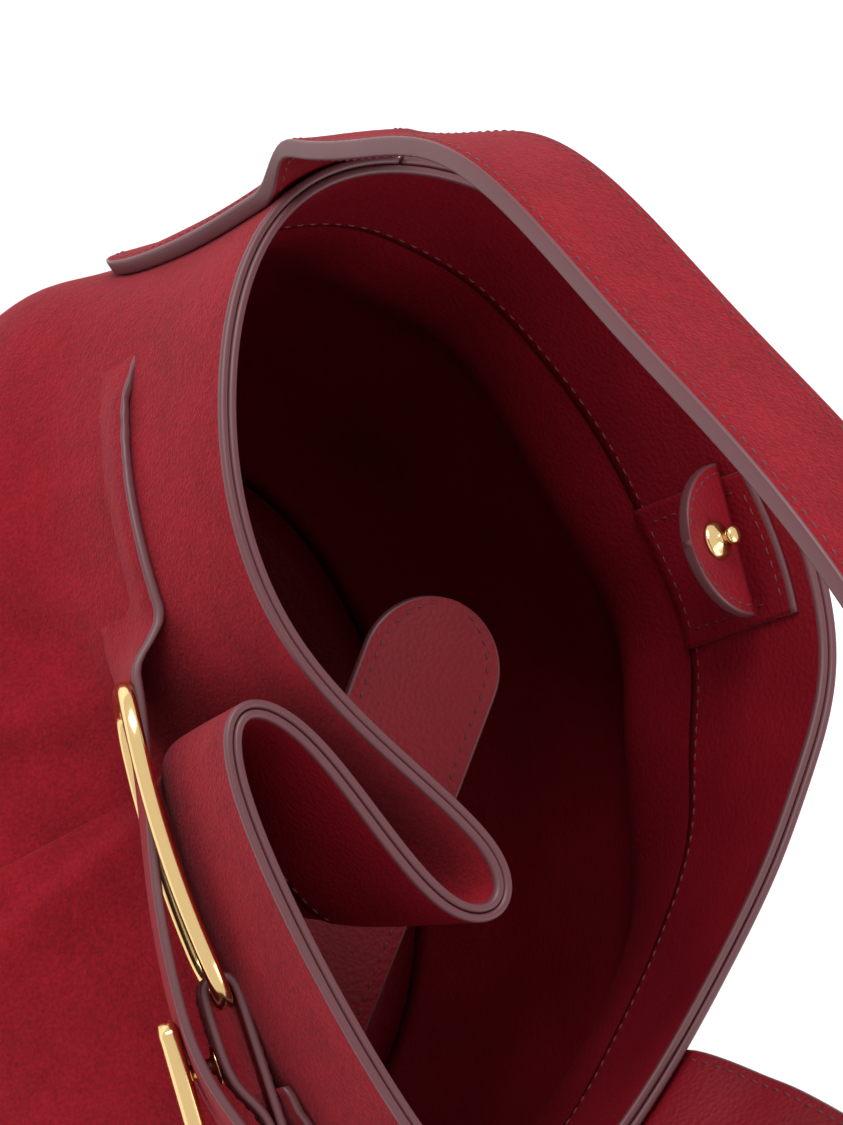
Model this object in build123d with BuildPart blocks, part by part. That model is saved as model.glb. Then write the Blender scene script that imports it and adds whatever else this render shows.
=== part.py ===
from build123d import *
from math import cos, radians, sin, sqrt
import os

# Bucket bag in suede with a leather lining, standing open. Millimetres, +Z up.
# X runs from the left side to the right side, the front faces -Y, and the origin is the
# middle of the base, on the surface that the bag stands on.

os.makedirs("parts", exist_ok=True)

# ---------------------------------------------------------------- driving dimensions
RIM_HEIGHT = 200.0
COLLAR_HEIGHT = 169.0
NECK_HEIGHT = 134.0
BELLY_HEIGHT = 80.0
LOW_HEIGHT = 36.0

SUEDE = 1.8
LINING = 1.2
FACING = 2.2
BASE_BOARD = 1.6
FACING_BOTTOM = 156.0
SEAM_Y = -4.0
FIT_GAP = 0.3

STRAP_WIDTH = 32.0
STRAP_LAYER = 2.0
BELT_WIDTH = 28.0
BELT_THICKNESS = 2.0
BELT_CENTRE_HEIGHT = 153.5

# Plan outlines of the bag's outer face: the corners of a closed smooth curve, from the left
# side along the front to the right side and back along the rear.
RIM_PLAN = [
    (-123, -26), (-82, -54), (-20, -58), (12, -76), (97, -42),
    (127, -14), (67, 44), (4, 97), (-63, 79), (-120, 28),
]
COLLAR_PLAN = [
    (-124, -28), (-82, -62), (-22, -64), (12, -69), (96, -46),
    (126, -15), (70, 48), (4, 83), (-63, 69), (-121, 26),
]
NECK_PLAN = [
    (-126, -32), (-84, -70), (-22, -58), (12, -50), (94, -44),
    (124, -16), (78, 53), (4, 78), (-63, 64), (-122, 24),
]
BELLY_PLAN = [
    (-132, -44), (-94, -92), (-26, -108), (32, -110), (102, -80),
    (133, -24), (105, 60), (20, 102), (-75, 90), (-132, 40),
]
LOW_PLAN = [
    (-126, -42), (-90, -84), (-26, -99), (32, -101), (97, -74),
    (126, -24), (101, 57), (20, 95), (-72, 84), (-126, 39),
]
BASE_PLAN = [
    (-104, -34), (-72, -64), (-22, -74), (28, -74), (78, -60),
    (104, -20), (84, 46), (20, 72), (-60, 64), (-104, 30),
]


# ---------------------------------------------------------------- helpers
def smooth_ring(corners):
    """Points on the closed cubic B-spline of these corners, two for each corner."""
    count = len(corners)
    points = []
    for i in range(count):
        a, b, c, d = (Vector(*corners[(i + k) % count]) for k in (-1, 0, 1, 2))
        points.append((a + b * 4 + c) * (1 / 6))
        points.append((a + b * 23 + c * 23 + d) * (1 / 48))
    return points


def inset_ring(points, depth):
    """The closed ring of points, moved inwards by depth."""
    moved = []
    for i, point in enumerate(points):
        along = (points[(i + 1) % len(points)] - points[i - 1]).normalized()
        moved.append(point + Vector(-along.Y, along.X) * depth)
    return moved


def bag_form(depth):
    """The bag's closed shape, its side walls inset by depth from the outer face."""
    levels = (
        (0.0, BASE_PLAN), (LOW_HEIGHT, LOW_PLAN), (BELLY_HEIGHT, BELLY_PLAN), (NECK_HEIGHT, NECK_PLAN),
        (COLLAR_HEIGHT, COLLAR_PLAN), (RIM_HEIGHT, RIM_PLAN),
    )
    rings = []
    for height, plan in levels:
        points = inset_ring(smooth_ring(plan), depth)
        with BuildLine() as ring:
            Spline(*[(point.X, point.Y, height) for point in points], periodic=True)
        rings.append(ring.wire())
    return Solid.make_loft(rings)


def smooth_path(controls):
    """Points on the open cubic B-spline of these control points, from the first to the last."""
    ends = [controls[0] * 2 - controls[1]] + controls + [controls[-1] * 2 - controls[-2]]
    points = []
    for a, b, c, d in zip(ends, ends[1:], ends[2:], ends[3:]):
        points.append((a + b * 4 + c) * (1 / 6))
        points.append((a + b * 23 + c * 23 + d) * (1 / 48))
    return points + [controls[-1]]


def ribbon(centres, across, widths, low, high):
    """A strip lofted along centres, across it by widths, from low to high off its middle."""
    with BuildPart() as strip:
        for i, centre in enumerate(centres):
            ahead = centres[min(i + 1, len(centres) - 1)] - centres[max(i - 1, 0)]
            side = across[i].cross(ahead).normalized()
            station = Plane(origin=centre, x_dir=side, z_dir=side.cross(across[i]))
            with BuildSketch(station):
                with Locations(((low + high) / 2, 0)):
                    Rectangle(high - low, widths[i])
        loft(ruled=True)
    return strip.part


def slab(low, high):
    """A wide level slab between two heights, to cut the bag's form with."""
    with BuildPart() as cutter:
        with BuildSketch(Plane.XY.offset(low)):
            Rectangle(400, 400)
        extrude(amount=high - low)
    return cutter.part


def block(x_range, y_range, z_range):
    """An upright block between two corners."""
    with BuildPart() as cutter:
        with BuildSketch(Plane.XY.offset(z_range[0])):
            with Locations((sum(x_range) / 2, sum(y_range) / 2)):
                Rectangle(x_range[1] - x_range[0], y_range[1] - y_range[0])
        extrude(amount=z_range[1] - z_range[0])
    return cutter.part


def finish(builder, label):
    """Name a finished piece and write it."""
    builder.part.label = label
    export_step(builder.part, f"parts/{label}.step")


outer_form = bag_form(0.0)
suede_inside = bag_form(SUEDE)
lining_inside = bag_form(SUEDE + LINING)
facing_inside = bag_form(SUEDE + FACING)

# ---------------------------------------------------------------- bag body
FRONT = block((-200, 200), (-200, SEAM_Y), (SUEDE, RIM_HEIGHT))
BACK = block((-200, 200), (SEAM_Y, 200), (SUEDE, RIM_HEIGHT))

with BuildPart() as front_panel:
    add(outer_form)
    add(suede_inside, mode=Mode.SUBTRACT)
    add(FRONT, mode=Mode.INTERSECT)
finish(front_panel, "front_panel")

with BuildPart() as back_panel:
    add(outer_form)
    add(suede_inside, mode=Mode.SUBTRACT)
    add(BACK, mode=Mode.INTERSECT)
finish(back_panel, "back_panel")

with BuildPart() as base_panel:
    add(outer_form)
    add(slab(0, SUEDE), mode=Mode.INTERSECT)
finish(base_panel, "base_panel")

with BuildPart() as base_board:
    add(suede_inside)
    add(slab(SUEDE, SUEDE + BASE_BOARD), mode=Mode.INTERSECT)
finish(base_board, "base_board")

LINING_FLOOR = SUEDE + BASE_BOARD
with BuildPart() as lining:
    add(suede_inside)
    add(slab(LINING_FLOOR, FACING_BOTTOM), mode=Mode.INTERSECT)
    with BuildPart(mode=Mode.PRIVATE) as lining_hollow:
        add(lining_inside)
        add(slab(LINING_FLOOR + LINING, FACING_BOTTOM), mode=Mode.INTERSECT)
    add(lining_hollow.part, mode=Mode.SUBTRACT)
finish(lining, "lining")

with BuildPart() as rim_facing:
    add(suede_inside)
    add(facing_inside, mode=Mode.SUBTRACT)
    add(slab(FACING_BOTTOM, RIM_HEIGHT), mode=Mode.INTERSECT)
finish(rim_facing, "rim_facing")

# ---------------------------------------------------------------- hug belt and buckle
# The buckle's plane leans out at the top, and turns a little to follow the wall.
BUCKLE_CENTRE = Vector(19.0, -64.8, BELT_CENTRE_HEIGHT)
BUCKLE_TURN = radians(8)
BUCKLE_LEAN = radians(19)
RING_LENGTH = 74.0
RING_HEIGHT = 41.0
RING_BAR = 5.0
RING_THICKNESS = 4.0
RING_CORNER = 14.0
RING_BOW_RADIUS = 260.0

along = Vector(cos(BUCKLE_TURN), sin(BUCKLE_TURN), 0)
outward = Vector(along.Y, -along.X, 0)
facing_out = outward * cos(BUCKLE_LEAN) - Vector(0, 0, 1) * sin(BUCKLE_LEAN)
buckle_plane = Plane(origin=BUCKLE_CENTRE, x_dir=along, z_dir=facing_out)
# Seen from above: its X runs along the buckle and its Y points out of the bag.
buckle_top = Plane(origin=BUCKLE_CENTRE, x_dir=along, z_dir=-buckle_plane.y_dir)
wall_clearance = bag_form(-FIT_GAP)

with BuildPart() as buckle_ring:
    with BuildSketch(buckle_plane.offset(-10)):
        RectangleRounded(RING_LENGTH, RING_HEIGHT, RING_CORNER)
        RectangleRounded(
            RING_LENGTH - 2 * RING_BAR, RING_HEIGHT - 2 * RING_BAR, RING_CORNER - RING_BAR,
            mode=Mode.SUBTRACT,
        )
    extrude(amount=20)
    with BuildSketch(buckle_top.offset(-RING_HEIGHT)):
        with Locations((0, RING_THICKNESS / 2 - RING_BOW_RADIUS)):
            Circle(RING_BOW_RADIUS)
            Circle(RING_BOW_RADIUS - RING_THICKNESS, mode=Mode.SUBTRACT)
    extrude(amount=2 * RING_HEIGHT, mode=Mode.INTERSECT)
    fillet(buckle_ring.edges(), radius=1.2)
finish(buckle_ring, "buckle_ring")

# The left band lies on the wall, passes behind the ring's left bar, comes out through the
# ring and runs on in front of its right bar as the tail. Each row is X, Y and the lean out.
BELT_ROUTE = [
    (-96, -52, -9), (-80, -60.8, -7), (-56, -64, 0), (-36, -63.4, 8), (-22, -62.2, 13),
    (-8, -61.8, 16), (10, -64.5, 18), (30, -68.6, 19), (50, -68.2, 19), (67, -66.2, 19),
    (84, -58.4, 15), (97, -49, 10),
]


def belt_stations(route):
    """Centres and across directions of a belt along a route at the belt's height."""
    middles = smooth_path([Vector(x, y, BELT_CENTRE_HEIGHT) for x, y, _ in route])
    leans = smooth_path([Vector(lean, 0, 0) for _, _, lean in route])
    across = [Vector(0, -sin(radians(lean.X)), cos(radians(lean.X))) for lean in leans]
    return middles, across


TOGGLE_X = 47.5
TOGGLE_BASE = 0.8
POST_RADIUS = 1.9

with BuildPart() as hug_belt:
    belt_middles, belt_across = belt_stations(BELT_ROUTE)
    add(ribbon(belt_middles, belt_across, [BELT_WIDTH] * len(belt_middles), -1.0, 1.0))
    add(wall_clearance, mode=Mode.SUBTRACT)
    with BuildSketch(buckle_plane):
        with Locations((TOGGLE_X, 0)):
            SlotOverall(8, 2 * POST_RADIUS + 0.8)
    extrude(amount=20, mode=Mode.SUBTRACT)
finish(hug_belt, "hug_belt")

# The right band is narrowed to a loop round the ring's right bar, sewn down on itself.
LOOP_WIDTH = 18.0
LOOP_GAP = 0.8
BAR_X = (RING_LENGTH - RING_BAR) / 2
BAR_Y = -BAR_X ** 2 / (2 * RING_BOW_RADIUS)
LOOP_REACH = RING_THICKNESS / 2 + LOOP_GAP + BELT_THICKNESS / 2
LOOP_START = BAR_X - RING_BAR / 2 - LOOP_GAP - BELT_THICKNESS
LOOP_END = 54.0
LOOP_CORNER = 2.4
SEWN_END = 64.0
loop_width = LOOP_END - LOOP_START
loop_depth = 2 * LOOP_REACH + BELT_THICKNESS
loop_middle = ((LOOP_START + LOOP_END) / 2, BAR_Y)

with BuildPart() as belt_loop:
    with BuildSketch(buckle_top.offset(-LOOP_WIDTH / 2)):
        with Locations(loop_middle):
            RectangleRounded(loop_width, loop_depth, LOOP_CORNER)
        with Locations(((LOOP_END - LOOP_CORNER + SEWN_END) / 2, BAR_Y - LOOP_REACH + BELT_THICKNESS / 2)):
            Rectangle(SEWN_END - LOOP_END + LOOP_CORNER, 2 * BELT_THICKNESS)
        with Locations(loop_middle):
            Rectangle(loop_width - 2 * BELT_THICKNESS, loop_depth - 2 * BELT_THICKNESS, mode=Mode.SUBTRACT)
    extrude(amount=LOOP_WIDTH)
    add(wall_clearance, mode=Mode.SUBTRACT)
finish(belt_loop, "belt_loop")

RIGHT_BAND_ROUTE = [(87.5, -47.5, 14), (94, -43.5, 12), (101, -37.5, 10), (107, -30, 8)]
with BuildPart() as right_band:
    band_middles, band_across = belt_stations(RIGHT_BAND_ROUTE)
    add(ribbon(band_middles, band_across, [BELT_WIDTH] * len(band_middles), -1.0, 1.0))
    add(wall_clearance, mode=Mode.SUBTRACT)
finish(right_band, "right_band")

# T-bar toggle: a post riveted to the loop, through the tail's slot, and a bar that turns on it.
LOOP_TOP = BAR_Y + LOOP_REACH + BELT_THICKNESS / 2
BAR_BOTTOM = LOOP_TOP + 6.0
TOGGLE_LENGTH = 27.0
TOGGLE_WIDTH = 6.0
TOGGLE_THICKNESS = 4.6
TOGGLE_ANGLE = -33.0
POST_TOP = BAR_BOTTOM + 3.0
BORE_CLEARANCE = 0.05

with BuildPart() as toggle_post:
    with BuildSketch(buckle_plane.offset(LOOP_TOP)):
        with Locations((TOGGLE_X, 0)):
            Circle(4.5)
    extrude(amount=TOGGLE_BASE)
    with BuildSketch(buckle_plane.offset(LOOP_TOP)):
        with Locations((TOGGLE_X, 0)):
            Circle(POST_RADIUS)
    extrude(amount=POST_TOP - LOOP_TOP)
finish(toggle_post, "toggle_post")

with BuildPart() as toggle_bar:
    with BuildSketch(buckle_plane.offset(BAR_BOTTOM)):
        with Locations(Location((TOGGLE_X, 0, 0), (0, 0, TOGGLE_ANGLE))):
            RectangleRounded(TOGGLE_LENGTH, TOGGLE_WIDTH, 1.8)
    extrude(amount=TOGGLE_THICKNESS)
    fillet(toggle_bar.faces().sort_by(Axis((0, 0, 0), tuple(facing_out)))[-1].edges(), 1.6)
    with BuildSketch(buckle_plane.offset(BAR_BOTTOM)):
        with Locations((TOGGLE_X, 0)):
            Circle(POST_RADIUS + BORE_CLEARANCE)
    extrude(amount=POST_TOP - BAR_BOTTOM + BORE_CLEARANCE, mode=Mode.SUBTRACT)
finish(toggle_bar, "toggle_bar")

# ---------------------------------------------------------------- closure tongue
TONGUE_ROOT = Vector(75, -36, 113)
TONGUE_TIP = Vector(-28, 18.5, 150)
TONGUE_WIDTH = 34.0
TONGUE_FACE = 1.4
TONGUE_BACK = 1.2

tongue_along = (TONGUE_TIP - TONGUE_ROOT).normalized()
tongue_length = (TONGUE_TIP - TONGUE_ROOT).length
tongue_across = Vector(0, 0, 1).cross(tongue_along).normalized()
tongue_plane = Plane(
    origin=TONGUE_ROOT, x_dir=tongue_along, z_dir=tongue_along.cross(tongue_across)
)


def tongue_layer(low, high, label):
    """One leather layer of the tongue, with its round end."""
    with BuildPart() as layer:
        with BuildSketch(tongue_plane.offset(low)):
            with Locations(((tongue_length - TONGUE_WIDTH / 2) / 2, 0)):
                Rectangle(tongue_length - TONGUE_WIDTH / 2, TONGUE_WIDTH)
            with Locations((tongue_length - TONGUE_WIDTH / 2, 0)):
                Circle(TONGUE_WIDTH / 2)
        extrude(amount=high - low)
    finish(layer, label)


tongue_layer(0, TONGUE_FACE, "closure_tongue")
tongue_layer(-TONGUE_BACK, 0, "closure_tongue_back")

ROOT_GAP = 1.8
with BuildPart() as tongue_root:
    with BuildSketch(tongue_plane.offset(-8)):
        with Locations((-ROOT_GAP - 10, 0)):
            Rectangle(20, TONGUE_WIDTH)
    extrude(amount=8 + TONGUE_FACE)
    add(lining_inside, mode=Mode.INTERSECT)
finish(tongue_root, "tongue_root")

# ---------------------------------------------------------------- stud closure on the back wall
PATCH_X = (-44.0, -8.0)
PATCH_Z = (157.0, 194.0)
PATCH_THICKNESS = 1.2

with BuildPart() as stud_patch:
    add(facing_inside)
    add(bag_form(SUEDE + FACING + PATCH_THICKNESS), mode=Mode.SUBTRACT)
    add(block(PATCH_X, (30, 120), PATCH_Z), mode=Mode.INTERSECT)
finish(stud_patch, "stud_patch")

TAB_WIDTH = 36.0
TAB_DEPTH = 17.0
TAB_FACE = 1.6
TAB_BACK = 1.2
TAB_ROOT = Vector(-28.0, 71.5, 187.0)
TAB_TURN = radians(3)
TAB_RISE = radians(23)
STUD_INSET = 7.5

tab_x = Vector(cos(TAB_TURN), sin(TAB_TURN), 0)
tab_back = Vector(-sin(TAB_TURN), cos(TAB_TURN), 0)
tab_up = tab_back * sin(TAB_RISE) + Vector(0, 0, 1) * cos(TAB_RISE)
tab_plane = Plane(origin=TAB_ROOT, x_dir=tab_x, z_dir=tab_up)


def tab_layer(low, high, label):
    """One layer of the D-shaped tab, with the stud's hole."""
    with BuildPart() as layer:
        with BuildSketch(tab_plane.offset(low)):
            with BuildLine():
                Line((-TAB_WIDTH / 2, 0), (TAB_WIDTH / 2, 0))
                ThreePointArc((TAB_WIDTH / 2, 0), (0, -TAB_DEPTH), (-TAB_WIDTH / 2, 0))
            make_face()
            with Locations((0, -STUD_INSET)):
                Circle(1.2, mode=Mode.SUBTRACT)
        extrude(amount=high - low)
    finish(layer, label)


tab_layer(0, TAB_FACE, "stud_tab")
tab_layer(-TAB_BACK, 0, "stud_tab_back")

STUD_PROFILE = [
    (0, 0), (4.6, 0), (4.6, 0.8), (3.4, 1.6), (1.5, 1.9), (1.4, 3.6), (2.2, 4.2), (2.2, 5.2),
    (1.4, 5.9), (0, 5.9),
]
stud_middle = tab_plane.from_local_coords((0, -STUD_INSET, TAB_FACE))
with BuildPart() as closure_stud:
    with BuildSketch(Plane(origin=stud_middle, x_dir=tab_x, z_dir=tab_x.cross(tab_up))):
        with BuildLine():
            Polyline(*STUD_PROFILE, close=True)
        make_face()
    revolve(axis=Axis(tuple(stud_middle), tuple(tab_up)))
finish(closure_stud, "closure_stud")

with BuildPart() as stud_screw:
    with BuildSketch(tab_plane.offset(-TAB_BACK)):
        with Locations((0, -STUD_INSET)):
            Circle(3.6)
    extrude(amount=-1.0)
    with BuildSketch(tab_plane.offset(-TAB_BACK - 1.0)):
        with Locations((0, -STUD_INSET)):
            Circle(1.2)
    extrude(amount=1.0 + TAB_BACK + TAB_FACE)
finish(stud_screw, "stud_screw")

# ---------------------------------------------------------------- shoulder strap and its tabs
LEFT_PIVOT = Vector(-115, -17, 221)
RIGHT_PIVOT = Vector(104, 26, 221)
LEFT_ACROSS = Vector(0, 1, 0)
MIDDLE_ACROSS = Vector(-0.05, 0.96, -0.25)
RIGHT_ACROSS = Vector(-0.6, 0.8, 0)
END_REACHES = (15.5, 13.0, 8.0)
# Each row is a point of the free strap and the direction across it there.
STRAP_ROUTE = [
    (LEFT_PIVOT, LEFT_ACROSS), (Vector(-108, -16, 243), LEFT_ACROSS),
    (Vector(-102, -14, 266), MIDDLE_ACROSS), (Vector(-84, -11, 287), MIDDLE_ACROSS),
    (Vector(-48, -4, 309), MIDDLE_ACROSS), (Vector(-14, 3, 335), MIDDLE_ACROSS),
    (Vector(26, 11, 353), MIDDLE_ACROSS), (Vector(70, 20, 359), MIDDLE_ACROSS),
    (Vector(110, 28, 347), RIGHT_ACROSS), (Vector(134, 35, 314), RIGHT_ACROSS),
    (Vector(136, 38, 274), RIGHT_ACROSS), (Vector(120, 33, 243), RIGHT_ACROSS),
    (RIGHT_PIVOT, RIGHT_ACROSS),
]
LEFT_TAB_ROUTE = [
    Vector(-130.5, -19, 112), Vector(-129, -18.5, 131), Vector(-127, -18, 150),
    Vector(-124.5, -17, 180), Vector(-123.5, -17, 204),
]
RIGHT_TAB_ROUTE = [
    Vector(106, 33, 112), Vector(103.5, 30, 131), Vector(101, 27, 150), Vector(99, 23, 180),
    Vector(99, 23, 204),
]


def strap_layer(low, high, label):
    """One layer of the free strap, its ends rounded about the pivots."""
    middles = smooth_path([point for point, _ in STRAP_ROUTE])
    across = [side.normalized() for side in smooth_path([side for _, side in STRAP_ROUTE])]
    before = (middles[0] - middles[1]).normalized()
    after = (middles[-1] - middles[-2]).normalized()
    radius = STRAP_WIDTH / 2
    caps = [2 * sqrt(radius ** 2 - reach ** 2) for reach in END_REACHES]
    centres = [middles[0] + before * reach for reach in END_REACHES] + middles
    centres += [middles[-1] + after * reach for reach in reversed(END_REACHES)]
    sides = [LEFT_ACROSS] * len(END_REACHES) + across + [RIGHT_ACROSS] * len(END_REACHES)
    widths = caps + [STRAP_WIDTH] * len(middles) + caps[::-1]
    with BuildPart() as layer:
        add(ribbon(centres, sides, widths, low, high))
    finish(layer, label)


strap_layer(0, STRAP_LAYER, "strap_lining")
strap_layer(-STRAP_LAYER, 0, "strap_outer")


def strap_tab(route, across, label):
    """The strap's end tab, sewn up the outside of the bag."""
    with BuildPart() as tab:
        centres = smooth_path(route)
        sides = [across] * len(centres)
        add(ribbon(centres, sides, [STRAP_WIDTH] * len(centres), -STRAP_LAYER, STRAP_LAYER))
        add(wall_clearance, mode=Mode.SUBTRACT)
    finish(tab, label)


strap_tab(LEFT_TAB_ROUTE, LEFT_ACROSS, "strap_tab_left")
strap_tab(RIGHT_TAB_ROUTE, RIGHT_ACROSS, "strap_tab_right")
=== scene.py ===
import bpy
import math
import numpy as np
from mathutils import Matrix, Vector


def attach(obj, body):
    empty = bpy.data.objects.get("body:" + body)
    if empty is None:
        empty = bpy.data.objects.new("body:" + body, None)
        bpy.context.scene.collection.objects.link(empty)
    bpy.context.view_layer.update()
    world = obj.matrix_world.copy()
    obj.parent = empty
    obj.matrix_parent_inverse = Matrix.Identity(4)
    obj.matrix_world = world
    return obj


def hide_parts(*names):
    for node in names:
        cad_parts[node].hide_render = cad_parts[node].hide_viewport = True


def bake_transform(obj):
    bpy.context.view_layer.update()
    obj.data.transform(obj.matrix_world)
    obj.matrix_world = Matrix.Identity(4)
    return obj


# Bucket bag: suede body with a painted rim, leather lining, hug belt with a ring buckle and
# toggle, tongue, stud tab and shoulder strap. Metres in the scene, millimetres in the tables.
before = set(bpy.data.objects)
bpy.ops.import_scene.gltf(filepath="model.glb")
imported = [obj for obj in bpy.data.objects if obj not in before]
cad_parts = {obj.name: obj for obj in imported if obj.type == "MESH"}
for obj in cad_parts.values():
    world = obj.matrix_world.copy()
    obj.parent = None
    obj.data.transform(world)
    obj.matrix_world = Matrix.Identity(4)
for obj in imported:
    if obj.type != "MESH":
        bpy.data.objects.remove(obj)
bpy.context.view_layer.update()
MM = 0.001


# ---------------------------------------------------------------- materials
def new_material(name):
    material = bpy.data.materials.new(name)
    material.use_nodes = True
    nodes = material.node_tree.nodes
    return material, nodes, material.node_tree.links, nodes["Principled BSDF"]


def mix_colours(nodes, links, factor, dark, light):
    mix = nodes.new("ShaderNodeMix")
    mix.data_type = "RGBA"
    links.new(factor, mix.inputs["Factor"])
    mix.inputs["A"].default_value = (*dark, 1)
    mix.inputs["B"].default_value = (*light, 1)
    return mix.outputs["Result"]


def noise(nodes, links, scale, detail, rough=0.5):
    coords = nodes.new("ShaderNodeTexCoord")
    texture = nodes.new("ShaderNodeTexNoise")
    texture.inputs["Scale"].default_value = scale
    texture.inputs["Detail"].default_value = detail
    texture.inputs["Roughness"].default_value = rough
    links.new(coords.outputs["Object"], texture.inputs["Vector"])
    return texture.outputs["Fac"]


def ramp(nodes, links, value, low, high):
    spread = nodes.new("ShaderNodeMapRange")
    spread.inputs["From Min"].default_value = low
    spread.inputs["From Max"].default_value = high
    links.new(value, spread.inputs["Value"])
    return spread.outputs["Result"]


def bump(nodes, links, height, strength, distance, below=None):
    node = nodes.new("ShaderNodeBump")
    node.inputs["Strength"].default_value = strength
    node.inputs["Distance"].default_value = distance
    links.new(height, node.inputs["Height"])
    if below is not None:
        links.new(below, node.inputs["Normal"])
    return node.outputs["Normal"]


def suede(name, dark, light):
    """Brushed nap: soft cloudy patches over a fine fibre."""
    material, nodes, links, shader = new_material(name)
    clouds = ramp(nodes, links, noise(nodes, links, 55, 9, 0.72), 0.28, 0.74)
    fibre = ramp(nodes, links, noise(nodes, links, 1100, 4, 0.7), 0.36, 0.66)
    blend = nodes.new("ShaderNodeMath")
    blend.operation = "MULTIPLY_ADD"
    links.new(fibre, blend.inputs[0])
    blend.inputs[1].default_value = 0.55
    scaled = nodes.new("ShaderNodeMath")
    scaled.operation = "MULTIPLY"
    links.new(clouds, scaled.inputs[0])
    scaled.inputs[1].default_value = 0.6
    links.new(scaled.outputs[0], blend.inputs[2])
    links.new(mix_colours(nodes, links, blend.outputs[0], dark, light), shader.inputs["Base Color"])
    shader.inputs["Roughness"].default_value = 0.95
    shader.inputs["Specular IOR Level"].default_value = 0.15
    shader.inputs["Sheen Weight"].default_value = 0.16
    shader.inputs["Sheen Roughness"].default_value = 0.45
    shader.inputs["Sheen Tint"].default_value = (1.0, 0.3, 0.35, 1)
    broad = bump(nodes, links, noise(nodes, links, 300, 4), 0.4, 0.0008)
    fine = bump(nodes, links, noise(nodes, links, 1300, 3), 0.8, 0.0005, broad)
    links.new(fine, shader.inputs["Normal"])
    return material


def leather(name, dark, light, rough):
    """Smooth leather with a fine pebble grain."""
    material, nodes, links, shader = new_material(name)
    clouds = ramp(nodes, links, noise(nodes, links, 24, 3), 0.3, 0.7)
    links.new(mix_colours(nodes, links, clouds, dark, light), shader.inputs["Base Color"])
    shader.inputs["Roughness"].default_value = rough
    shader.inputs["Specular IOR Level"].default_value = 0.22
    coords = nodes.new("ShaderNodeTexCoord")
    cells = nodes.new("ShaderNodeTexVoronoi")
    cells.inputs["Scale"].default_value = 900
    links.new(coords.outputs["Object"], cells.inputs["Vector"])
    links.new(bump(nodes, links, cells.outputs["Distance"], 0.5, 0.0003), shader.inputs["Normal"])
    return material


def plain(name, colour, rough, metallic=0.0):
    material, nodes, links, shader = new_material(name)
    shader.inputs["Base Color"].default_value = (*colour, 1)
    shader.inputs["Metallic"].default_value = metallic
    worn = nodes.new("ShaderNodeMapRange")
    worn.inputs["To Min"].default_value = rough * 0.85
    worn.inputs["To Max"].default_value = rough * 1.2
    links.new(noise(nodes, links, 90, 2), worn.inputs["Value"])
    links.new(worn.outputs["Result"], shader.inputs["Roughness"])
    return material


SUEDE = suede("suede", (0.115, 0.002, 0.006), (0.27, 0.006, 0.014))
LINING = leather("lining leather", (0.13, 0.002, 0.007), (0.19, 0.004, 0.011), 0.5)
EDGE = plain("painted edge", (0.105, 0.03, 0.036), 0.42)
THREAD = plain("thread", (0.11, 0.006, 0.012), 0.6)
GOLD = plain("gold metal", (0.86, 0.60, 0.27), 0.16, 1.0)
BOARD = plain("board", (0.2, 0.16, 0.13), 0.8)


# ---------------------------------------------------------------- mesh helpers
def make_mesh(name, points, faces, kinds, materials, body="bag", nodes=()):
    """A smooth mesh from points in millimetres, riding on a CAD body."""
    mesh = bpy.data.meshes.new(name)
    mesh.from_pydata([tuple(p) for p in np.asarray(points, float) * MM], [], faces)
    for material in materials:
        mesh.materials.append(material)
    mesh.polygons.foreach_set("material_index", kinds)
    mesh.polygons.foreach_set("use_smooth", [True] * len(faces))
    mesh.validate()
    mesh.update()
    piece = bpy.data.objects.new(name, mesh)
    bpy.context.scene.collection.objects.link(piece)
    if body:
        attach(piece, body)
    if nodes:
        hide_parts(*nodes)
    return piece


def loft(sections, section_kinds, closed=False):
    """Faces between rings of points of equal count, capped at both ends unless closed."""
    count, size = len(sections), len(sections[0])
    points = np.concatenate(sections)
    faces, kinds = [], []
    for i in range(count if closed else count - 1):
        a, b = i * size, ((i + 1) % count) * size
        for k in range(size):
            m = (k + 1) % size
            faces.append((a + k, a + m, b + m, b + k))
            kinds.append(section_kinds[k])
    if not closed:
        faces.append(tuple(range(size))[::-1])
        faces.append(tuple((count - 1) * size + k for k in range(size)))
        kinds += [2, 2]
    return points, faces, kinds


def join(*parts):
    """One (points, faces, kinds) from several."""
    points, faces, kinds, start = [], [], [], 0
    for part_points, part_faces, part_kinds in parts:
        points.append(np.asarray(part_points, float))
        faces += [tuple(start + k for k in face) for face in part_faces]
        kinds += list(part_kinds)
        start += len(part_points)
    return np.concatenate(points), faces, kinds


def flat_section(width, low, high, radius=0.7, across=9, corner=3):
    """Section of a flat strip as (across, through, kind): 0 low face, 1 high face, 2 edges."""
    half, out = width / 2, []
    radius = min(radius, (high - low) / 2 - 0.02, half * 0.9)
    for v in np.linspace(-half + radius, half - radius, across):
        out.append((v, low, 0))
    out[-1] = (out[-1][0], low, 2)
    for k in range(1, corner + 1):
        a = math.pi / 2 * k / corner
        out.append((half - radius + radius * math.sin(a), low + radius - radius * math.cos(a), 2))
    for k in range(corner):
        a = math.pi / 2 * k / corner
        out.append((half - radius + radius * math.cos(a), high - radius + radius * math.sin(a), 2))
    for v in np.linspace(half - radius, -half + radius, across):
        out.append((v, high, 1))
    out[-1] = (out[-1][0], high, 2)
    for k in range(1, corner + 1):
        a = math.pi / 2 * k / corner
        out.append((-half + radius - radius * math.sin(a), high - radius + radius * math.cos(a), 2))
    for k in range(corner):
        a = math.pi / 2 * k / corner
        out.append((-half + radius - radius * math.cos(a), low + radius - radius * math.sin(a), 2))
    return out


# One stitch: how far along it each ring is, its relative size and its height on the surface.
STITCH_RINGS = ((0, 0.45, -0.3), (0.2, 1, -0.05), (0.5, 1.1, 0.05), (0.8, 1, -0.05), (1, 0.45, -0.3))


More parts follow.
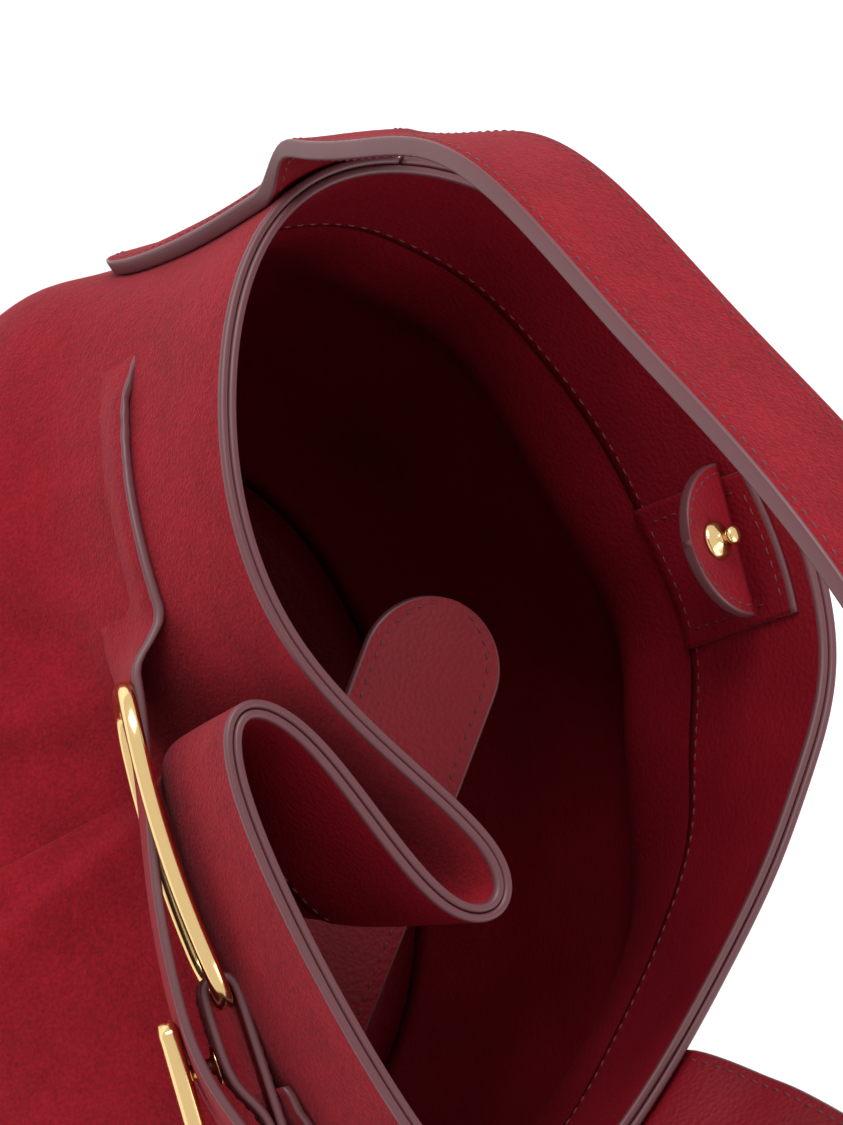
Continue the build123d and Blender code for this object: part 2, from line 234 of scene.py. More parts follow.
def stitch_row(path, normals, pitch=3.2, length=2.3, radius=0.3, kind=3):
    """A row of thread stitches lying along a path on a surface."""
    path, normals = np.asarray(path, float), np.asarray(normals, float)
    steps = np.linalg.norm(np.diff(path, axis=0), axis=1)
    reach = np.concatenate([[0], np.cumsum(steps)])
    parts = []
    for middle in np.arange(pitch / 2, reach[-1] - pitch / 2, pitch):
        ends = [middle - length / 2, middle + length / 2]
        a, b, n = (
            np.array([np.interp(at, reach, line[:, k]) for k in range(3)])
            for at, line in ((ends[0], path), (ends[1], path), (middle, normals))
        )
        n /= np.linalg.norm(n)
        ahead = (b - a) / max(np.linalg.norm(b - a), 1e-6)
        side = np.cross(n, ahead)
        rings = []
        for t, grow, lift in STITCH_RINGS:
            middle_point = a + (b - a) * t + n * lift
            rings.append(np.array([
                middle_point + (side * math.cos(q) + n * math.sin(q) * 0.8) * radius * grow
                for q in np.arange(6) * math.pi / 3
            ]))
        parts.append(loft(rings, [kind] * 6))
        parts[-1][2][-2:] = [kind, kind]
    return join(*parts)


# ---------------------------------------------------------------- the bag's wall
# Corners of the wall's middle line at each height. Corners 4 and 5 are the pleat's inner
# fold, 6 and 7 its outer fold.
LEVELS = (
    (0, [(-104, -34), (-72, -62), (-26, -71), (0, -72), (12, -72), (18, -72), (30, -72),
         (78, -58), (102, -20), (84, 44), (20, 70), (-60, 62), (-102, 30)]),
    (36, [(-124, -42), (-89, -82), (-32, -96), (2, -96), (18, -95), (16, -97), (32, -98),
          (96, -72), (124, -24), (99, 55), (20, 93), (-72, 82), (-124, 39)]),
    (82, [(-130, -44), (-93, -90), (-28, -104), (4, -94), (24, -92), (14, -97), (32, -107),
          (101, -78), (131, -24), (103, 58), (20, 100), (-75, 88), (-130, 40)]),
    (134, [(-124, -32), (-82, -68), (-12, -62), (28, -34), (38, -42), (-2, -50), (2, -57),
           (92, -43), (122, -16), (76, 51), (4, 76), (-62, 64), (-120, 24)]),
    (166, [(-122, -28), (-80, -58), (-12, -62), (34, -8), (51, -30), (-5, -52), (-4, -70),
           (95, -45), (124, -15), (68, 47), (4, 82), (-62, 69), (-119, 26)]),
    (200, [(-121, -26), (-80, -52), (-12, -56), (39, 5), (57, -22), (-6, -46), (-6, -74),
           (96, -40), (122, -15), (66, 42), (4, 94), (-62, 76), (-118, 26)]),
)
PER_CORNER = 48
STATIONS = PER_CORNER * len(LEVELS[0][1])
HEIGHTS = np.array([height for height, _ in LEVELS], float)


def closed_curve(corners):
    corners = np.array(corners, float)
    t = (np.arange(PER_CORNER) / PER_CORNER)[:, None]
    out = []
    for i in range(len(corners)):
        a, b, c, d = (corners[(i + k) % len(corners)] for k in (-1, 0, 1, 2))
        out.append(((1 - t) ** 3 * a + (3 * t ** 3 - 6 * t ** 2 + 4) * b
                    + (-3 * t ** 3 + 3 * t ** 2 + 3 * t + 1) * c + t ** 3 * d) / 6)
    return np.concatenate(out)


LINES = np.array([closed_curve(corners) for _, corners in LEVELS])


def level_slopes():
    """Slopes at each level that don't overshoot the levels beside it."""
    steps = np.diff(HEIGHTS)[:, None, None]
    rises = np.diff(LINES, axis=0) / steps
    slopes = np.zeros_like(LINES)
    slopes[0], slopes[-1] = rises[0] * 1.5, rises[-1] * 1.1
    same = rises[:-1] * rises[1:] > 0
    harmonic = 2 * rises[:-1] * rises[1:] / np.where(same, rises[:-1] + rises[1:], 1)
    slopes[1:-1] = np.where(same, harmonic, 0)
    return slopes


SLOPES = level_slopes()
# Soft folds: middle station in corners, lean in corners per 100 mm, height, half width in
# corners, half length and depth in millimetres.
FOLDS = (
    (1.35, 0.9, 112, 0.16, 30, 3.0), (2.1, -0.7, 108, 0.13, 26, 3.6), (3.1, 0.5, 112, 0.14, 24, 3.0),
    (5.9, -0.6, 110, 0.14, 26, 3.4), (6.7, 0.6, 106, 0.12, 26, 3.2), (7.3, -0.7, 110, 0.15, 30, 3.4),
    (8.3, 0.5, 118, 0.2, 34, 2.2), (0.3, 0.6, 118, 0.2, 36, 2.4), (9.4, 0.4, 120, 0.25, 40, 2.4),
    (10.4, -0.4, 118, 0.25, 42, 2.8), (11.5, 0.5, 116, 0.25, 40, 2.4), (12.4, -0.4, 120, 0.2, 36, 2.2),
    (10.9, 0.3, 60, 0.5, 30, 2.2), (4.0, 0.2, 48, 0.6, 26, 2.0), (9.7, -0.5, 172, 0.22, 30, -1.6),
)


def wall_line(z):
    """(points, outward normals) of the wall's middle line at a height."""
    z = min(max(z, 0.0), HEIGHTS[-1])
    i = min(int(np.searchsorted(HEIGHTS, z, side="right")) - 1, len(HEIGHTS) - 2)
    step = HEIGHTS[i + 1] - HEIGHTS[i]
    t = (z - HEIGHTS[i]) / step
    line = ((2 * t ** 3 - 3 * t ** 2 + 1) * LINES[i] + (t ** 3 - 2 * t ** 2 + t) * step * SLOPES[i]
            + (3 * t ** 2 - 2 * t ** 3) * LINES[i + 1] + (t ** 3 - t ** 2) * step * SLOPES[i + 1])
    along = np.roll(line, -1, axis=0) - np.roll(line, 1, axis=0)
    along /= np.linalg.norm(along, axis=1)[:, None]
    outward = np.stack([along[:, 1], -along[:, 0]], axis=1)
    place = np.arange(STATIONS) / PER_CORNER
    count = len(LEVELS[0][1])
    for middle, lean, height, half, reach, depth in FOLDS:
        away = (place - middle - lean * (z - height) / 100 + count / 2) % count - count / 2
        size = depth * math.exp(-((z - height) / reach) ** 2)
        ridge = np.exp(-(away / half) ** 2)
        trough = np.exp(-((away - 2 * half) / half) ** 2)
        line = line + outward * (size * (ridge - 0.5 * trough))[:, None]
    return line, outward


def wall_points(indices, z, offset):
    line, outward = wall_line(z)
    flat = line[indices] + outward[indices] * offset
    return np.column_stack([flat, np.full(len(flat), z)])


def shell(name, indices, low, high, outer, inner, materials, nodes, closed=False, top=0.75, step=3.0):
    """A layer of the wall between two offsets and two heights, with a rounded top edge."""
    rows = [(z, outer, 0) for z in np.arange(low, high - top - 0.5, step)]
    rows.append((high - top - 0.4, outer, 2))
    for k in range(5):
        a = math.pi / 2 * k / 4
        rows.append((high - top + top * math.sin(a), outer - top + top * math.cos(a), 2))
    for k in range(5):
        a = math.pi / 2 * k / 4
        rows.append((high - top + top * math.cos(a), inner + top - top * math.sin(a), 2))
    rows.append((high - top - 0.4, inner, 1))
    rows += [(z, inner, 1) for z in np.arange(low, high - top - 0.5, step)[::-1]]
    rows[-1] = (low, inner, 2)
    grid = np.array([wall_points(indices, z, offset) for z, offset, _ in rows])
    sections = [grid[:, i] for i in range(len(indices))]
    points, faces, kinds = loft(sections, [kind for _, _, kind in rows], closed)
    return make_mesh(name, points, faces, kinds, materials, nodes=nodes)


def seam_station(side):
    """Station where the rim crosses the side seam, on the left (-1) or the right (1)."""
    line, _ = wall_line(120)
    off = np.where(line[:, 0] * side > 0, np.abs(line[:, 1] + 4), 1e9)
    return int(np.argmin(off))


left_seam, right_seam = seam_station(-1), seam_station(1)
around = np.arange(STATIONS)
front = np.array([(left_seam + k) % STATIONS for k in range((right_seam - left_seam) % STATIONS)])
back = np.array([(right_seam + k) % STATIONS for k in range((left_seam - right_seam) % STATIONS)])
PANEL = [SUEDE, LINING, EDGE, THREAD]
shell("front_suede", front, 1.5, 200, 2.0, 0.12, PANEL, ["front_panel"])
shell("back_suede", back, 1.5, 200, 2.0, 0.12, PANEL, ["back_panel"])
INNER = [LINING, LINING, EDGE, THREAD]
shell("facing", around, 157, 199.8, -0.06, -2.0, INNER, ["rim_facing"], closed=True)
shell("lining_wall", around, 4.0, 158.5, -0.3, -1.5, INNER, ["lining"], closed=True, step=4.0)


def disc(name, z, thick, offset, materials, nodes, count=14):
    """A flat panel that fills the wall's outline at a height."""
    rim = wall_points(around, z, offset)[:, :2]
    centre = rim.mean(axis=0)
    points, faces = [], []
    for level, height in enumerate((z, z + thick)):
        points.append([(*centre, height)])
        for ring in range(1, count + 1):
            flat = centre + (rim - centre) * ring / count
            points.append(np.column_stack([flat, np.full(STATIONS, height)]))
        start = level * (1 + count * STATIONS)
        for k in range(STATIONS):
            faces.append((start, start + 1 + k, start + 1 + (k + 1) % STATIONS))
        for ring in range(count - 1):
            a = start + 1 + ring * STATIONS
            for k in range(STATIONS):
                m = (k + 1) % STATIONS
                faces.append((a + k, a + STATIONS + k, a + STATIONS + m, a + m))
    low, high = 1 + (count - 1) * STATIONS, 1 + count * STATIONS + 1 + (count - 1) * STATIONS
    for k in range(STATIONS):
        m = (k + 1) % STATIONS
        faces.append((low + k, low + m, high + m, high + k))
    make_mesh(name, np.concatenate(points), faces, [0] * len(faces), materials, nodes=nodes)


disc("base_suede", 0.0, 1.6, 1.6, [SUEDE], ["base_panel"])
disc("base_stiffener", 1.8, 1.5, -1.0, [BOARD], ["base_board"])
disc("lining_floor", 3.5, 1.0, -1.2, [LINING], [])


def seam_cord(name, station_at):
    """The ridge where the two panels meet at a side."""
    path = [wall_points([station_at], z, 1.75)[0] for z in np.arange(2, 198, 3.0)]
    return tube(name, path, 0.75, [SUEDE])


def tube(name, path, radius, materials, body="bag", nodes=(), sides=10):
    path = np.asarray(path, float)
    ahead = np.gradient(path, axis=0)
    ahead /= np.linalg.norm(ahead, axis=1)[:, None]
    sections = []
    for at, direction in zip(path, ahead):
        a = np.cross(direction, [0.3, 0.2, 0.93])
        a /= np.linalg.norm(a)
        b = np.cross(direction, a)
        turn = np.arange(sides) * 2 * math.pi / sides
        sections.append(at + radius * (np.cos(turn)[:, None] * a + np.sin(turn)[:, None] * b))
    points, faces, kinds = loft(sections, [0] * sides)
    return make_mesh(name, points, faces, [0] * len(faces), materials, body, nodes)


seam_cord("left_seam", left_seam)
seam_cord("right_seam", right_seam)


def wall_stitches(name, indices, z, offset, facing):
    """A line of stitches round the wall, on its outside (1) or its inside (-1)."""
    line, outward = wall_line(z)
    normals = np.column_stack([outward[indices] * facing, np.zeros(len(indices))])
    points, faces, kinds = stitch_row(wall_points(indices, z, offset), normals, kind=0)
    make_mesh(name, points, faces, kinds, [THREAD])


wall_stitches("facing_stitches", around, 159.5, -2.0, -1)
wall_stitches("base_stitches", around, 7.0, 2.0, 1)


# ---------------------------------------------------------------- strips
def open_curve(controls, spacing):
    """Evenly spaced points on the cubic B-spline of the controls (any number of columns)."""
    c = np.array(controls, float)
    c = np.vstack([2 * c[0] - c[1], c, 2 * c[-1] - c[-2]])
    t = np.linspace(0, 1, 40, endpoint=False)[:, None]
    out = []
    for i in range(1, len(c) - 2):
        a, b, d, e = c[i - 1], c[i], c[i + 1], c[i + 2]
        out.append(((1 - t) ** 3 * a + (3 * t ** 3 - 6 * t ** 2 + 4) * b
                    + (-3 * t ** 3 + 3 * t ** 2 + 3 * t + 1) * d + t ** 3 * e) / 6)
    out = np.vstack(out + [c[-2][None]])
    reach = np.concatenate([[0], np.cumsum(np.linalg.norm(np.diff(out[:, :3], axis=0), axis=1))])
    at = np.linspace(0, reach[-1], max(4, int(reach[-1] / spacing)))
    return np.column_stack([np.interp(at, reach, out[:, k]) for k in range(out.shape[1])])


def unit(v):
    v = np.asarray(v, float)
    return v / np.linalg.norm(v, axis=-1)[..., None]


def strip(name, place, widths, low, high, materials, body, nodes, rows=(), pitch=3.2):
    """A flat strip: place(i, across, through) gives its points; rows are stitch lines."""
    count = len(widths)
    base = flat_section(max(widths), low, high)
    sections = []
    for i, width in enumerate(widths):
        section = flat_section(width, low, high)
        sections.append(np.array([place(i, v, t) for v, t, _ in section]))
    parts = [loft(sections, [kind for _, _, kind in base])]
    for inset, face in rows:
        level = low if face == 0 else high
        for edge in (-1, 1):
            path, normals = [], []
            for i in range(count):
                if widths[i] < 2 * inset + 3:
                    continue
                v = edge * (widths[i] / 2 - inset)
                path.append(place(i, v, level))
                normals.append(place(i, v, level + (1 if face else -1)) - place(i, v, level))
            parts.append(stitch_row(path, normals, pitch))
    points, faces, kinds = join(*parts)
    return make_mesh(name, points, faces, kinds, materials, body, nodes)


def rounded_widths(centres, width, start=False, end=False):
    """Width at each centre, with round ends where asked."""
    reach = np.concatenate([[0], np.cumsum(np.linalg.norm(np.diff(centres[:, :3], axis=0), axis=1))])
    out, half = [], width / 2
    for at in reach:
        room = min(at if start else 1e9, reach[-1] - at if end else 1e9)
        away = max(0.0, half - room)
        out.append(max(2.4, 2 * math.sqrt(max(half ** 2 - away ** 2, 0))))
    return out


# ---------------------------------------------------------------- shoulder strap
# The strap's middle line: up the left wall, over, and down the right wall.
STRAP_WIDTH = 32.0
LEFT_TAB = [(-130.5, -19, 112), (-129, -18.5, 131), (-127, -18, 150), (-124.5, -17, 180), (-123, -17, 204)]
FREE_STRAP = [
    (-115, -17, 221), (-108, -16, 243), (-102, -14, 266), (-84, -11, 287), (-48, -4, 309),
    (-14, 3, 335), (26, 11, 353), (70, 20, 359), (110, 28, 347), (134, 35, 314), (136, 38, 274),
    (120, 33, 243), (104, 26, 221),
]
RIGHT_TAB = [(99, 23, 204), (99, 23, 180), (101, 27, 150), (103.5, 30, 131), (106, 33, 112)]
LEFT_ACROSS, MIDDLE_ACROSS, RIGHT_ACROSS = (0, 1, 0), (-0.05, 0.96, -0.25), (-0.6, 0.8, 0)
SIDEWAYS = [LEFT_ACROSS] * 7 + [MIDDLE_ACROSS] * 6 + [RIGHT_ACROSS] * 10
STRAP_TABLE = [(*at, *side) for at, side in zip(LEFT_TAB + FREE_STRAP + RIGHT_TAB, SIDEWAYS)]
strap_table = open_curve(STRAP_TABLE, 2.5)
strap_line, strap_across = strap_table[:, :3], unit(strap_table[:, 3:])
strap_side = unit(np.cross(strap_across, np.gradient(strap_line, axis=0)))
peak = int(np.argmax(strap_line[:, 2]))
strap_anchor = {}
for end, spot in ((0, (-121, -17)), (1, (99, 23))):
    rim_line, _ = wall_line(185)
    strap_anchor[end] = int(np.argmin(np.linalg.norm(rim_line - spot, axis=1)))


def wall_walk(station, z, v):
    """(point, outward normal) on the wall's middle line, v millimetres round from a station."""
    line, outward = wall_line(z)
    order = (station + np.arange(-120, 121)) % STATIONS
    near = line[order]
    reach = np.concatenate([[0], np.cumsum(np.linalg.norm(np.diff(near, axis=0), axis=1))])
    reach -= reach[120]
    spot = [np.interp(v, reach, near[:, k]) for k in range(2)]
    facing = [np.interp(v, reach, outward[order][:, k]) for k in range(2)]
    return np.array([*spot, z]), unit(np.array([*facing, 0.0]))


def strap_place(i, v, t):
    free = strap_line[i] + strap_across[i] * v + strap_side[i] * t
    z = strap_line[i, 2]
    hold = float(np.clip((216 - z) / 22, 0, 1))
    hold = hold * hold * (3 - 2 * hold)
    if hold == 0:
        return free
    end = 0 if i < peak else 1
    around_v = -v if end == 0 else v
    spot, facing = wall_walk(strap_anchor[end], min(z, 200), around_v)
    held = spot + facing * (4.3 - t)
    held[2] = z
    return free * (1 - hold) + held * hold


strap_widths = rounded_widths(strap_line, STRAP_WIDTH, start=True, end=True)
strap_piece = strip(
    "strap", strap_place, strap_widths, -2.0, 2.0, PANEL, None,
    ["strap_outer", "strap_lining", "strap_tab_left", "strap_tab_right"],
    rows=((2.6, 0), (2.6, 1)),
)
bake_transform(strap_piece)

# ---------------------------------------------------------------- hug belt
BELT_HEIGHT = 153.5
BELT_WIDTH = 28.0
BELT_ROUTE = [
    (-96, -52, 143, -9), (-80, -60.8, 147.5, -7), (-56, -64, 151.5, 0),
    (-36, -66.0, BELT_HEIGHT, 8), (-22, -65.4, BELT_HEIGHT, 13), (-8, -64.8, BELT_HEIGHT, 16),
    (10, -66.4, BELT_HEIGHT, 18), (30, -68.6, BELT_HEIGHT, 19), (50, -68.2, BELT_HEIGHT, 19),
    (67, -66.2, BELT_HEIGHT, 19), (84, -58.4, BELT_HEIGHT, 15), (97, -49, BELT_HEIGHT, 10),
]
belt_table = open_curve(BELT_ROUTE, 2.0)
belt_line, belt_lean = belt_table[:, :3], np.radians(belt_table[:, 3])
belt_across = np.column_stack([np.zeros(len(belt_line)), -np.sin(belt_lean), np.cos(belt_lean)])
belt_side = unit(np.cross(belt_across, np.gradient(belt_line, axis=0)))


def front_wall(x, z):
    """The foremost y of the wall's outer face at this x and height."""
    line, outward = wall_line(z)
    outer = line + outward * 2.0
    near = (np.abs(outer[:, 0] - x) < 1.6) & (outer[:, 1] < 0)
    return outer[near, 1].min()


def belt_place(i, v, t):
    free = belt_line[i] + belt_across[i] * v + belt_side[i] * t
    hold = float(np.clip((-18 - free[0]) / 14, 0, 1))
    hold = hold * hold * (3 - 2 * hold)
    if hold == 0:
        return free
    held = free.copy()
    sunk = float(np.clip((10 - v) / 12, 0, 1)) * float(np.clip((-24 - free[0]) / 12, 0, 1))
    sunk = max(sunk, float(np.clip((-80 - free[0]) / 12, 0, 1)))
    held[1] = front_wall(free[0], free[2]) - 1.35 + t + 3.4 * sunk
    return free * (1 - hold) + held * hold


strip(
    "hug_belt_strip", belt_place, rounded_widths(belt_line, BELT_WIDTH), -1.1, 1.1, PANEL, "bag",
    ["hug_belt"],
)

# The buckle's frame: along the buckle, up its face and out of the bag.
BUCKLE_CENTRE = np.array([19.0, -64.8, BELT_HEIGHT])
BUCKLE_TURN, BUCKLE_LEAN = math.radians(8), math.radians(19)
along = np.array([math.cos(BUCKLE_TURN), math.sin(BUCKLE_TURN), 0])
outward_flat = np.array([along[1], -along[0], 0])
facing_out = outward_flat * math.cos(BUCKLE_LEAN) - np.array([0, 0, math.sin(BUCKLE_LEAN)])
buckle_up = np.cross(facing_out, along)


def on_buckle(x, y, z):
    return BUCKLE_CENTRE + along * x + buckle_up * y + facing_out * z


RING_LENGTH, RING_HEIGHT, RING_BAR, RING_CORNER, RING_BOW = 74.0, 41.0, 5.0, 14.0, 260.0


def ring_path(count=44):
    """The ring's middle line with its outward direction, in the buckle's frame."""
    half_x, half_y = (RING_LENGTH - RING_BAR) / 2, (RING_HEIGHT - RING_BAR) / 2
    corner = RING_CORNER - RING_BAR / 2
    out = []
    for k, (sx, sy) in enumerate(((1, 1), (-1, 1), (-1, -1), (1, -1))):
        for a in np.linspace(0, math.pi / 2, count // 2):
            a = a + k * math.pi / 2
            out.append((sx * (half_x - corner) + corner * math.cos(a),
                        sy * (half_y - corner) + corner * math.sin(a), math.cos(a), math.sin(a)))
        x, y, nx, ny = out[-1]
        nxt = ((-1, 1), (-1, -1), (1, -1), (1, 1))[k]
        goal = np.array((nxt[0] * (half_x - corner), nxt[1] * (half_y - corner)))
        goal = goal + corner * np.array((nx, ny))
        for t in np.linspace(0, 1, 12)[1:-1]:
            out.append((x + (goal[0] - x) * t, y + (goal[1] - y) * t, nx, ny))
    return out


sections = []
for x, y, nx, ny in ring_path():
    ring = []
    for q in np.arange(20) * 2 * math.pi / 20:
        c, s = math.cos(q), math.sin(q)
        wide = RING_BAR / 2 * math.copysign(abs(c) ** 0.62, c)
        deep = 2.0 * math.copysign(abs(s) ** 0.62, s)
        ring.append(on_buckle(x + nx * wide, y + ny * wide, deep - (x + nx * wide) ** 2 / (2 * RING_BOW)))
    sections.append(np.array(ring))
points, faces, kinds = loft(sections, [0] * 20, closed=True)
make_mesh("ring", points, faces, kinds, [GOLD], "buckle", ["buckle_ring"])

# The loop that holds the ring, and the band sewn to the right of it.
BAR_X = (RING_LENGTH - RING_BAR) / 2
BAR_Z = -BAR_X ** 2 / (2 * RING_BOW)
LOOP_REACH = 3.8
LOOP_INNER_X = BAR_X - RING_BAR / 2 - 1.8
loop_route = [
    (68, BAR_Z - LOOP_REACH, 0), (56, BAR_Z - LOOP_REACH, 0), (40, BAR_Z - LOOP_REACH, 0),
    (LOOP_INNER_X + 1.6, BAR_Z - LOOP_REACH, 0), (LOOP_INNER_X - 0.4, BAR_Z - 2.4, 0),
    (LOOP_INNER_X - 0.4, BAR_Z + 2.4, 0), (LOOP_INNER_X + 1.6, BAR_Z + LOOP_REACH, 0),
    (42, BAR_Z + LOOP_REACH, 0), (53, BAR_Z + LOOP_REACH, 0), (60, BAR_Z - LOOP_REACH + 2.2, 0),
    (68, BAR_Z - LOOP_REACH + 2.2, 0),
]
loop_line = open_curve(loop_route, 1.2)
loop_ahead = unit(np.gradient(loop_line, axis=0))


def loop_place(i, v, t):
    x, z = loop_line[i, :2] + np.array([loop_ahead[i, 1], -loop_ahead[i, 0]]) * t
    return on_buckle(x, v, z)


strip(
    "belt_loop_strip", loop_place, [18.0] * len(loop_line), -1.0, 1.0, PANEL, "bag", ["belt_loop"],
    rows=((2.2, 0),),
)
BAND_ROUTE = [
    (74, -53.5, BELT_HEIGHT, 15), (87.5, -48.0, BELT_HEIGHT, 14), (94, -44.5, BELT_HEIGHT, 12),
    (101, -39, BELT_HEIGHT, 10), (108, -32, BELT_HEIGHT, 8),
]
band_table = open_curve(BAND_ROUTE, 2.0)
band_across = np.column_stack([
    np.zeros(len(band_table)), -np.sin(np.radians(band_table[:, 3])), np.cos(np.radians(band_table[:, 3])),
])


def band_place(i, v, t):
    free = band_table[i, :3] + band_across[i] * v
    free[1] = front_wall(free[0], free[2]) - 1.3 + t
    return free


strip(
    "right_band_strip", band_place, [BELT_WIDTH] * len(band_table), -1.0, 1.0, PANEL, "bag",
    ["right_band"],
)

# T-bar toggle.
TOGGLE_X, TOGGLE_ANGLE = 47.5, math.radians(-33)
LOOP_TOP = BAR_Z + LOOP_REACH + 1.0
BAR_BOTTOM = LOOP_TOP + 6.0


def lathe(profile, place, name, body, nodes, sides=40):
    """A turned piece: profile rows are radius and height; place maps x, y, z."""
    sections = []
    for radius, height in profile:
        sections.append(np.array([
            place(radius * math.cos(q), radius * math.sin(q), height)
            for q in np.arange(sides) * 2 * math.pi / sides
        ]))
    points, faces, kinds = loft(sections, [0] * sides)
    return make_mesh(name, points, faces, [0] * len(faces), [GOLD], body, nodes)


lathe(
    [(0.1, 0), (4.3, 0), (4.5, 0.2), (4.4, 0.6), (3.8, 0.85), (2.3, 1.0), (1.9, 1.4),
     (1.85, 8.9), (0.1, 8.95)],
    lambda x, y, z: on_buckle(TOGGLE_X + x, y, LOOP_TOP + z), "toggle_pin", "bag", ["toggle_post"],
)
sections = []
for s in np.linspace(-1, 1, 33):
    reach = 13.5 * math.copysign(1 - (1 - abs(s)) ** 1.25, s)
    end = max(0.02, 1 - max(0.0, (abs(reach) - 11.7) / 1.8) ** 2) ** 0.5
    ring = []
    for q in np.arange(24) * 2 * math.pi / 24:
        c, d = math.cos(q), math.sin(q)
        wide = 3.0 * math.copysign(abs(c) ** 0.55, c) * (0.55 + 0.45 * end)
        deep = 2.3 * math.copysign(abs(d) ** 0.55, d) * (0.4 + 0.6 * end)
        x = reach * math.cos(TOGGLE_ANGLE) - wide * math.sin(TOGGLE_ANGLE)
        y = reach * math.sin(TOGGLE_ANGLE) + wide * math.cos(TOGGLE_ANGLE)
        ring.append(on_buckle(TOGGLE_X + x, y, BAR_BOTTOM + 2.3 + deep))
    sections.append(np.array(ring))
points, faces, kinds = loft(sections, [0] * 24)
make_mesh("toggle", points, faces, [0] * len(faces), [GOLD], "toggle", ["toggle_bar"])

# ---------------------------------------------------------------- closure tongue
TONGUE_ROOT, TONGUE_TIP, TONGUE_WIDTH = np.array([75.0, -36, 113]), np.array([-28.0, 18.5, 150]), 34.0
tongue_ahead = unit(TONGUE_TIP - TONGUE_ROOT)
tongue_across = unit(np.cross([0, 0, 1.0], tongue_ahead))
tongue_up = np.cross(tongue_ahead, tongue_across)
tongue_length = float(np.linalg.norm(TONGUE_TIP - TONGUE_ROOT))
tongue_steps = np.concatenate([np.arange(0, tongue_length - 17, 3.0),
                               tongue_length - 17 * (1 - np.sin(np.linspace(0, 1, 16) * math.pi / 2))])
tongue_line = TONGUE_ROOT + tongue_ahead * tongue_steps[:, None]


def tongue_place(i, v, t):
    s = tongue_steps[i] / tongue_length
    bow = 1.6 * math.sin(math.pi * s) + 0.8 * (v / 17) ** 2
    return tongue_line[i] + tongue_across * v + tongue_up * (t + bow)


strip(
    "tongue_strip", tongue_place, rounded_widths(tongue_line, TONGUE_WIDTH, end=True), -1.3, 1.3,
    [SUEDE, LINING, EDGE, THREAD], "tongue", ["closure_tongue", "closure_tongue_back"],
    rows=((3.4, 1),),
)
root_steps = np.arange(-14, -1.9, 1.5)
root_line = TONGUE_ROOT + tongue_ahead * root_steps[:, None]
strip(
    "tongue_root_strip", lambda i, v, t: root_line[i] + tongue_across * v + tongue_up * t,
    [TONGUE_WIDTH] * len(root_line), -1.3, 1.3, [SUEDE, LINING, EDGE, THREAD], "bag", ["tongue_root"],
)

# ---------------------------------------------------------------- stud closure
patch_stations = [k for k in around if -44 < wall_line(175)[0][k, 0] < -8 and wall_line(175)[0][k, 1] > 0]
rows = [(z, -2.0, 0) for z in np.arange(157, 194, 3.0)] + [(194, -2.1, 2), (194.4, -2.7, 2), (194, -3.2, 2)]
rows += [(z, -3.2, 1) for z in np.arange(157, 194, 3.0)[::-1]] + [(156.6, -2.7, 2)]
grid = np.array([wall_points(patch_stations, z, offset) for z, offset, _ in rows])
patch = loft([grid[:, i] for i in range(len(patch_stations))], [kind for _, _, kind in rows])
patch_rows = [patch]
for z in (160, 191):
    _, outward = wall_line(z)
    inner_normals = np.column_stack([-outward[patch_stations], np.zeros(len(patch_stations))])
    patch_rows.append(stitch_row(wall_points(patch_stations, z, -3.2)[3:-3], inner_normals[3:-3]))
for station_at in (patch_stations[3], patch_stations[-4]):
    zs = np.arange(161, 190, 2.0)
    normals = [[*(-wall_line(z)[1][station_at]), 0] for z in zs]
    patch_rows.append(stitch_row([wall_points([station_at], z, -3.2)[0] for z in zs], normals))
points, faces, kinds = join(*patch_rows)
make_mesh("stud_patch_leather", points, faces, kinds, INNER, nodes=["stud_patch"])

TAB_ROOT, TAB_TURN, TAB_RISE = np.array([-28.0, 71.5, 187.0]), math.radians(3), math.radians(23)
TAB_WIDTH, TAB_DEPTH, STUD_INSET = 36.0, 17.0, 7.5
tab_x = np.array([math.cos(TAB_TURN), math.sin(TAB_TURN), 0])
tab_back = np.array([-math.sin(TAB_TURN), math.cos(TAB_TURN), 0])
tab_up = tab_back * math.sin(TAB_RISE) + np.array([0, 0, math.cos(TAB_RISE)])
tab_y = np.cross(tab_up, tab_x)
tab_steps = TAB_DEPTH * np.sin(np.linspace(0, 1, 26) * math.pi / 2)


def tab_place(i, v, t):
    return TAB_ROOT + tab_x * v - tab_y * tab_steps[i] + tab_up * (t + 0.2)


ARC = (TAB_DEPTH ** 2 + (TAB_WIDTH / 2) ** 2) / (2 * TAB_DEPTH)
tab_widths = [2 * math.sqrt(max(ARC ** 2 - (ARC - TAB_DEPTH + s) ** 2, 1.0)) for s in tab_steps]
strip(
    "stud_tab_leather", tab_place, tab_widths, -1.4, 1.4, INNER, "stud_flap",
    ["stud_tab", "stud_tab_back"], rows=((2.4, 1),), pitch=3.0,
)


def on_tab(x, y, z):
    return TAB_ROOT + tab_x * x + tab_y * (y - STUD_INSET) + tab_up * (z + 1.6)


lathe(
    [(0.1, 0), (4.4, 0), (4.6, 0.25), (4.5, 0.7), (3.6, 1.4), (1.9, 1.75), (1.45, 2.3), (1.4, 3.4),
     (1.9, 3.9), (2.25, 4.4), (2.25, 4.9), (1.9, 5.5), (1.1, 5.85), (0.1, 5.9)],
    on_tab, "stud", "stud_flap", ["closure_stud"],
)
lathe(
    [(0.1, -3.85), (3.0, -3.8), (3.5, -3.6), (3.6, -3.3), (3.6, -2.8), (0.1, -2.8)],
    on_tab, "stud_screw_head", "stud_flap", ["stud_screw"],
)

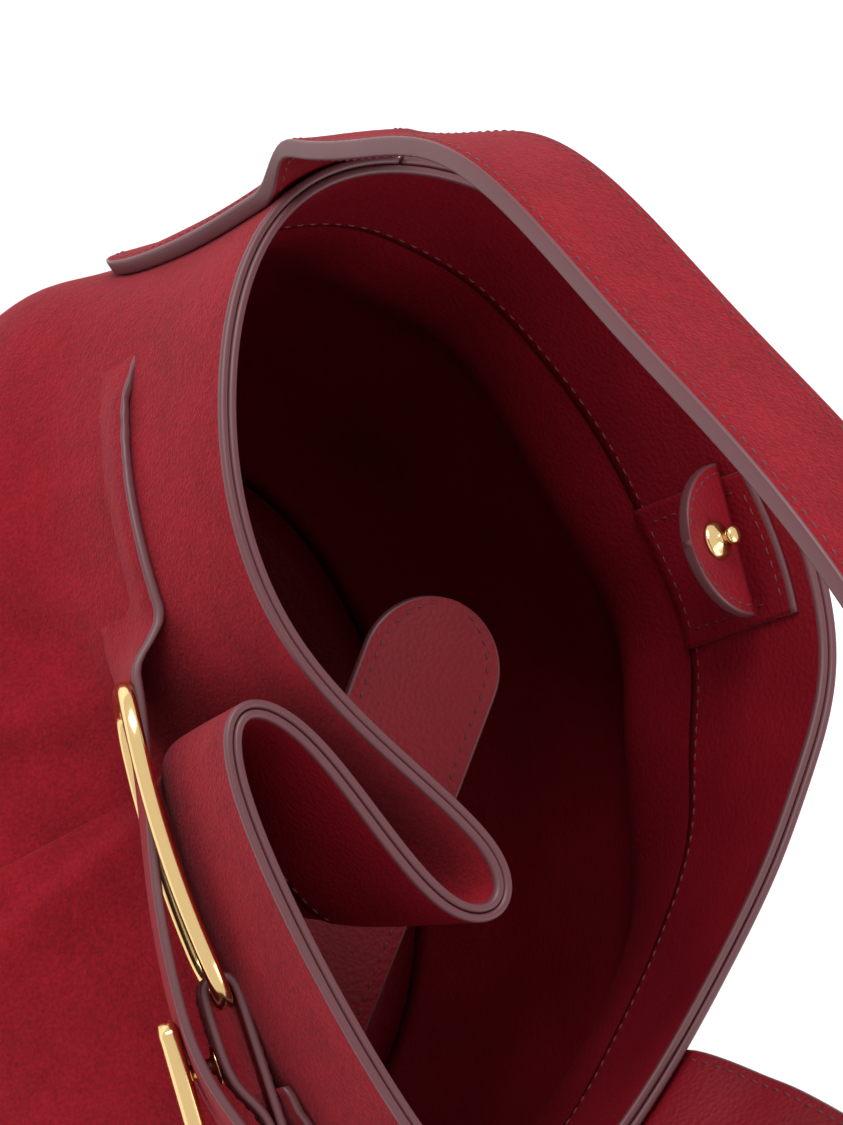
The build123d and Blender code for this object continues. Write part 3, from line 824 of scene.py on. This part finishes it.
# ---------------------------------------------------------------- floor, light and camera
floor_material, _, _, floor_shader = new_material("floor")
floor_shader.inputs["Base Color"].default_value = (0.93, 0.93, 0.93, 1)
floor_shader.inputs["Roughness"].default_value = 0.9
bpy.ops.mesh.primitive_plane_add(size=8, location=(0, 0, -0.0005))
floor = bpy.context.object
floor.name = "floor"
floor.data.materials.append(floor_material)

world = bpy.data.worlds.new("studio")
bpy.context.scene.world = world
world.use_nodes = True
world.node_tree.nodes["Background"].inputs["Color"].default_value = (1, 1, 1, 1)
world.node_tree.nodes["Background"].inputs["Strength"].default_value = 0.85


def area_light(name, position, target, size, power):
    data = bpy.data.lights.new(name, "AREA")
    data.size = size
    data.energy = power
    lamp = bpy.data.objects.new(name, data)
    lamp.location = position
    lamp.rotation_euler = (Vector(target) - Vector(position)).to_track_quat("-Z", "Y").to_euler()
    bpy.context.scene.collection.objects.link(lamp)


area_light("key", (-0.9, -0.5, 1.3), (0, 0, 0.15), 0.8, 16)
area_light("fill", (0.9, 0.7, 1.2), (0, 0, 0.15), 1.0, 9)

AZIMUTH, ELEVATION, ROLL = (math.radians(a) for a in (19, 62, 62))
TARGET = Vector((-0.029, -0.013, 0.200))
DISTANCE = 0.8
backwards = Vector((
    math.sin(AZIMUTH) * math.cos(ELEVATION), -math.cos(AZIMUTH) * math.cos(ELEVATION),
    math.sin(ELEVATION),
))
level_right = Vector((math.cos(AZIMUTH), math.sin(AZIMUTH), 0))
level_up = backwards.cross(level_right)
camera_right = level_right * math.cos(ROLL) + level_up * math.sin(ROLL)
camera_up = level_up * math.cos(ROLL) - level_right * math.sin(ROLL)
camera_data = bpy.data.cameras.new("camera")
camera_data.lens = 120
camera_data.sensor_width = 36
camera_data.clip_start = 0.05
camera = bpy.data.objects.new("camera", camera_data)
camera_axes = Matrix((camera_right, camera_up, backwards)).transposed().to_4x4()
camera.matrix_world = Matrix.Translation(TARGET + backwards * DISTANCE) @ camera_axes
bpy.context.scene.collection.objects.link(camera)
bpy.context.scene.camera = camera
bpy.context.scene.view_settings.view_transform = "Standard"
